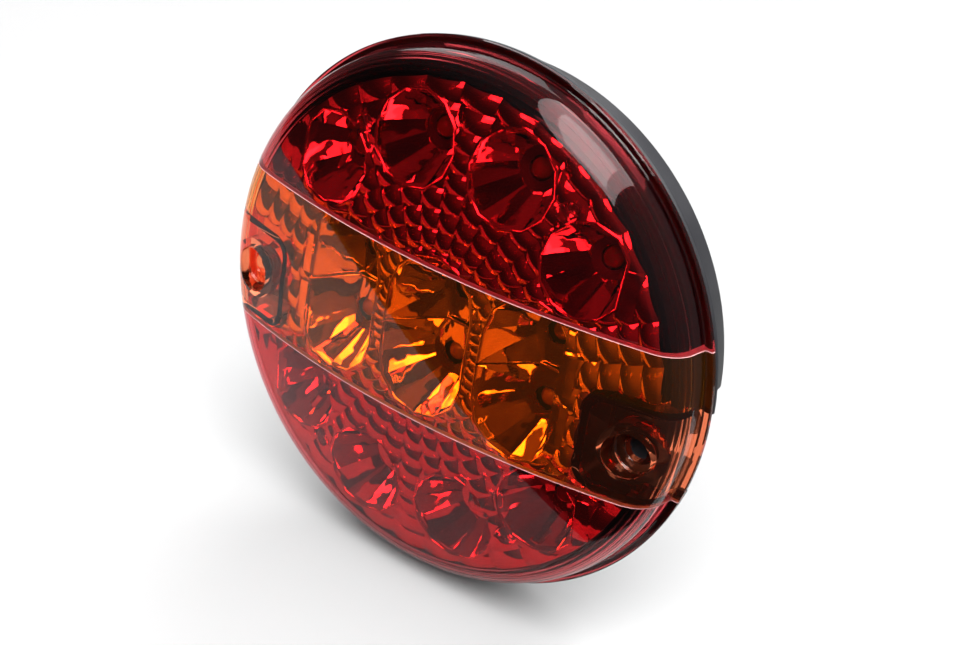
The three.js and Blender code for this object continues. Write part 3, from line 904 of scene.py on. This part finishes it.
def make_housing():
    outside = [
        (LIP_R[1] - 0.3, LIP_Y), (LIP_R[1], LIP_Y + 0.3),
        (HOUSING_R - 0.2, FLANGE_Y[0]), (FLANGE_R - 0.3, FLANGE_Y[0]), (FLANGE_R, FLANGE_Y[0] + 0.3),
        (FLANGE_R, FLANGE_Y[1] - 0.4), (FLANGE_R - 0.4, FLANGE_Y[1]), (HOUSING_R + 0.4, FLANGE_Y[1]),
        (HOUSING_R, FLANGE_Y[1] + 0.4), (BACK_R + 0.15, -1.2), (BACK_R - 0.1, -0.5), (BACK_R - 0.8, 0),
    ]
    lip = []
    for k in range(LIP_GROOVES):
        r = LIP_R[0] + (LIP_R[1] - LIP_R[0] - 0.5) * k / LIP_GROOVES
        lip += [(r, LIP_Y), (r + 0.3, LIP_Y + 0.35)]
    blank = [(0, LIP_Y), *lip, *outside, (0, 0)]
    body = turned("housing", blank)
    cavity = [(0, LIP_Y - 1), (LIP_R[0] - 0.05, LIP_Y - 1), (LIP_R[0] - 0.6, FLOOR_Y - 0.6)]
    cut(body, turned("cavity", [*cavity, (LIP_R[0] - 1.2, FLOOR_Y), (0, FLOOR_Y)]))
    bite_top = TOWER_FOOT_Y + GAP
    for side in (1, -1):
        cut(body, tower(side, GAP, LIP_Y - 5, bite_top))
        cut(body, tower(side, -TOWER_WALL, FRONT_Y, 1))
        wall = tower(side, 0, bite_top, 0)
        cut(wall, tower(side, -TOWER_WALL, FRONT_Y, 1))
        join(body, meet(wall, turned("blank", blank)))
        foot_top = HEAD_SEAT_Y + HEAD_FLOOR + GAP
        web = sorted((side * (TOWER_INNER + 1), side * (SCREW_X - SCREW_BORE_R - 0.5)))
        join(body, rod(FOOT_R, foot_top, FOOT_END_Y, side * SCREW_X, SCREW_Z))
        join(body, block(web, (bite_top, FOOT_END_Y), (SCREW_Z - 1, SCREW_Z + 1)))
        cut(body, screw_bore(side))
    for k in range(POCKETS):
        by_screw = k % (POCKETS // 2) == 0
        r_high, half = (SCREW_POCKET_R, SCREW_POCKET_HALF) if by_screw else (POCKET_R, POCKET_HALF)
        cut(body, pocket(math.tau * k / POCKETS, POCKET_INNER_R, r_high, half))
    low, high = box_mm("cable_grommet")
    cable_z = (low.z + high.z) / 2
    cut(body, rod(NECK_R + 0.1, FLOOR_Y - 1, 1, 0, cable_z))
    smooth(body, 35)
    finish_piece(body, "rear_housing", ["housing"], HOUSING_BLACK)
    profile = [
        (CABLE_R + 0.3, FLOOR_Y - 1.4), (GROMMET_R - 0.4, FLOOR_Y - 1.4), (GROMMET_R, FLOOR_Y - 1.0),
        (GROMMET_R, FLOOR_Y - 0.05), (NECK_R, FLOOR_Y - 0.05), (NECK_R, RECESS_Y + 0.05),
        (GROMMET_R, RECESS_Y + 0.05), (GROMMET_R - 0.1, -1.0), (GROMMET_R - 0.6, -0.55),
        (GROMMET_R - 1.2, -0.4), (CABLE_R + 0.5, -0.4), (CABLE_R + 0.15, -0.55), (CABLE_R, -0.9),
        (CABLE_R, FLOOR_Y - 1.1),
    ]
    grommet = turned("grommet", profile, 96, 0, cable_z)
    smooth(grommet, 35)
    finish_piece(grommet, "rubber_grommet", ["cable_grommet"], RUBBER)


# ---- lens seal ----
SEAL_R = (66.6, 69.4)


def make_seals():
    inner, outer = SEAL_R
    low_y, high_y = LENS_BACK_Y + 0.05, FLANGE_Y[0] - 0.05
    middle = (low_y + high_y) / 2
    profile = [
        (inner, low_y + 0.15), (inner + 0.2, low_y), (outer - 0.2, low_y), (outer, low_y + 0.15),
        (outer + 0.05, middle), (outer, high_y - 0.15), (outer - 0.2, high_y), (inner + 0.2, high_y),
        (inner, high_y - 0.15),
    ]
    for name, node, z in (
        ("upper_seal_cord", "lens_seal_upper", (0, FAR)),
        ("lower_seal_cord", "lens_seal_lower", (-FAR, 0)),
    ):
        ring = turned("seal", profile)
        for side in (1, -1):
            cut(ring, tower(side, 0, FRONT_Y, 1))
        meet(ring, block((-FAR, FAR), (-FAR, FAR), z))
        smooth(ring, 35)
        finish_piece(ring, name, [node], RUBBER)


# ---- light sources ----
LED_R = 2.5
LED_FOOT_R = 2.9
LED_STEPS = 8


def make_leds(cups):
    for cup in cups:
        low, high = box_mm(cup["node"])
        tip, seat = low.y, high.y
        profile = [(0, tip)]
        for k in range(1, LED_STEPS + 1):
            angle = math.pi / 2 * k / LED_STEPS
            profile.append((LED_R * math.sin(angle), tip + LED_R * (1 - math.cos(angle))))
        profile += [(LED_R, seat - 1), (LED_FOOT_R - 0.1, seat - 0.95), (LED_FOOT_R, seat - 0.85)]
        profile += [(LED_FOOT_R, seat), (0, seat)]
        lamp = turned("lamp", profile, 48, cup["x"], cup["z"])
        smooth(lamp, 35)
        amber = "amber" in cup["node"]
        slot, material = ("amber_led", AMBER_LED) if amber else ("red_led", RED_LED)
        finish_piece(lamp, cup["node"].replace("led", "lamp"), [cup["node"]], material)


# ---- reflector screws ----
PAN_R = 1.9
PAN_HEIGHT = 1.5
PAN_EDGE = 0.3
PAN_STEPS = 6
SHANK_R = 1.2
CROSS_REACH = 1.1
CROSS_HALF = 0.22
CROSS_DEPTH = 0.8


def make_screws():
    for i in range(1, 5):
        low, high = box_mm(f"reflector_screw_{i}")
        x, z = (low.x + high.x) / 2, (low.z + high.z) / 2
        seat = low.y + PAN_HEIGHT
        profile = [(0, low.y)]
        for k in range(1, PAN_STEPS + 1):
            angle = math.pi / 2 * k / PAN_STEPS
            drop = (PAN_HEIGHT - PAN_EDGE) * math.cos(angle)
            profile.append((PAN_R * math.sin(angle), seat - PAN_EDGE - drop))
        profile += [(PAN_R, seat), (SHANK_R, seat), (SHANK_R, high.y - 1), (0, high.y)]
        screw = turned("screw", profile, 48, x, z)
        slot = (low.y - 1, low.y + CROSS_DEPTH)
        cross = block((x - CROSS_REACH, x + CROSS_REACH), slot, (z - CROSS_HALF, z + CROSS_HALF))
        upright = block((x - CROSS_HALF, x + CROSS_HALF), slot, (z - CROSS_REACH, z + CROSS_REACH))
        join(cross, upright)
        cut(screw, cross)
        smooth(screw, 35)
        finish_piece(screw, f"pan_head_screw_{i}", [f"reflector_screw_{i}"], ZINC)


# ---- CAD nodes that stay ----
def dress_cad_nodes():
    looks = {
        "circuit_board": SOLDER_MASK, "resistor": RESISTOR, "diode": EPOXY_BLACK,
        "regulator": EPOXY_BLACK, "wire_terminal": TINNED,
    }
    for node, shown in frame["nodes"].items():
        for start, material in looks.items():
            if node.startswith(start):
                shown.data.materials.clear()
                shown.data.materials.append(material)


# ---- stage ----
TABLE_MIDDLE = (-330.0, 350.0)
TABLE_R = 560.0
TABLE_THICK = 25.0
TABLE_EDGE = 4.0
ROOM_LIGHT = (0.05, 0.45)
ROOM_BRIGHT_SIDE = (0.6, 0.0, 0.8)
# The softbox and its core hang at one height; their place and size are shares of it.
SOFTBOX_HEIGHT = 0.6
SOFTBOX_AT = (0.24, -0.45, 1)
SOFTBOX = {"size": (0.75, 2.2), "power": 13}
SOFTBOX_CORE = {"size": (0.45, 1.3), "power": 5}
CORE_DROP = 0.02
REAR_FILL = {"at": (-0.75, 1.1, 0.75), "size": (1.2, 0.8), "power": 6}
WASH_SIZE = 1.2
TABLE_WASHES = (
    ("table_wash_back", (-0.3, 1.2, 1.0), 110, (-0.3, 0.9, 0)),
    ("table_wash_front", (0.40, -0.70, 1.0), 120, (-0.1, 0, 0)),
)


def make_stage():
    """A round table top, made lying about Y and turned to lie flat. It is mid-grey and renders pale."""
    top = cad_bounds[0].z / MM
    profile = [(0, top), (TABLE_R - TABLE_EDGE, top), (TABLE_R, top - TABLE_EDGE)]
    profile += [(TABLE_R, top - TABLE_THICK), (0, top - TABLE_THICK)]
    table = turned("floor", profile)
    for vertex in table.data.vertices:
        x, y, z = vertex.co
        vertex.co = Vector((x + TABLE_MIDDLE[0] * MM, TABLE_MIDDLE[1] * MM - z, y))
    smooth(table, 30)
    pale, shader = principled("pale_floor", Roughness=0.9)
    vary_colour(pale, shader, object_noise(pale, 3, 2), (0.12, 0.12, 0.12), (0.13, 0.13, 0.13))
    table.data.materials.append(pale)


def area_light(name, at, size, size_y, power, target=Vector((0, 0, 0))):
    data = bpy.data.lights.new(name, "AREA")
    data.shape = "RECTANGLE"
    data.size = size
    data.size_y = size_y
    data.energy = power
    light = bpy.data.objects.new(name, data)
    aim = (Vector(target) - Vector(at)).to_track_quat("-Z", "Y")
    light.matrix_world = Matrix.Translation(at) @ aim.to_matrix().to_4x4()
    bpy.context.scene.collection.objects.link(light)
    return light


def studio_world():
    """A dim room, a little brighter towards the top right."""
    world = bpy.data.worlds.new("studio")
    world.use_nodes = True
    nodes, links = world.node_tree.nodes, world.node_tree.links
    place = nodes.new("ShaderNodeTexCoord")
    along = nodes.new("ShaderNodeVectorMath")
    along.operation = "DOT_PRODUCT"
    along.inputs[1].default_value = ROOM_BRIGHT_SIDE
    span = nodes.new("ShaderNodeMapRange")
    span.interpolation_type = "SMOOTHSTEP"
    span.inputs["From Min"].default_value = -0.4
    span.inputs["From Max"].default_value = 1.0
    span.inputs["To Min"].default_value = ROOM_LIGHT[0]
    span.inputs["To Max"].default_value = ROOM_LIGHT[1]
    background = nodes["Background"]
    background.inputs["Color"].default_value = (0.95, 0.97, 1.0, 1)
    links.new(place.outputs["Generated"], along.inputs[0])
    links.new(along.outputs["Value"], span.inputs["Value"])
    links.new(span.outputs["Result"], background.inputs["Strength"])
    return world


def make_lights():
    height = SOFTBOX_HEIGHT
    at = Vector([share * height for share in SOFTBOX_AT])
    core = at - Vector((0, 0, CORE_DROP))
    for name, place, look in (("overhead_softbox", at, SOFTBOX), ("softbox_core", core, SOFTBOX_CORE)):
        wide, long = look["size"]
        area_light(name, place, wide * height, long * height, look["power"], place - Vector((0, 0, 1)))
    area_light("rear_fill", Vector(REAR_FILL["at"]), *REAR_FILL["size"], REAR_FILL["power"])
    for name, at, power, target in TABLE_WASHES:
        wash = area_light(name, at, WASH_SIZE, WASH_SIZE, power, target)
        wash.visible_glossy = False
        wash.visible_transmission = False
    bpy.context.scene.world = studio_world()
    bpy.context.scene.view_settings.view_transform = "Standard"


CUPS = cup_list()
make_lens()
make_reflector(CUPS)
make_housing()
make_seals()
make_leds(CUPS)
make_screws()
dress_cad_nodes()
make_stage()
make_lights()

bpy.context.view_layer.update()
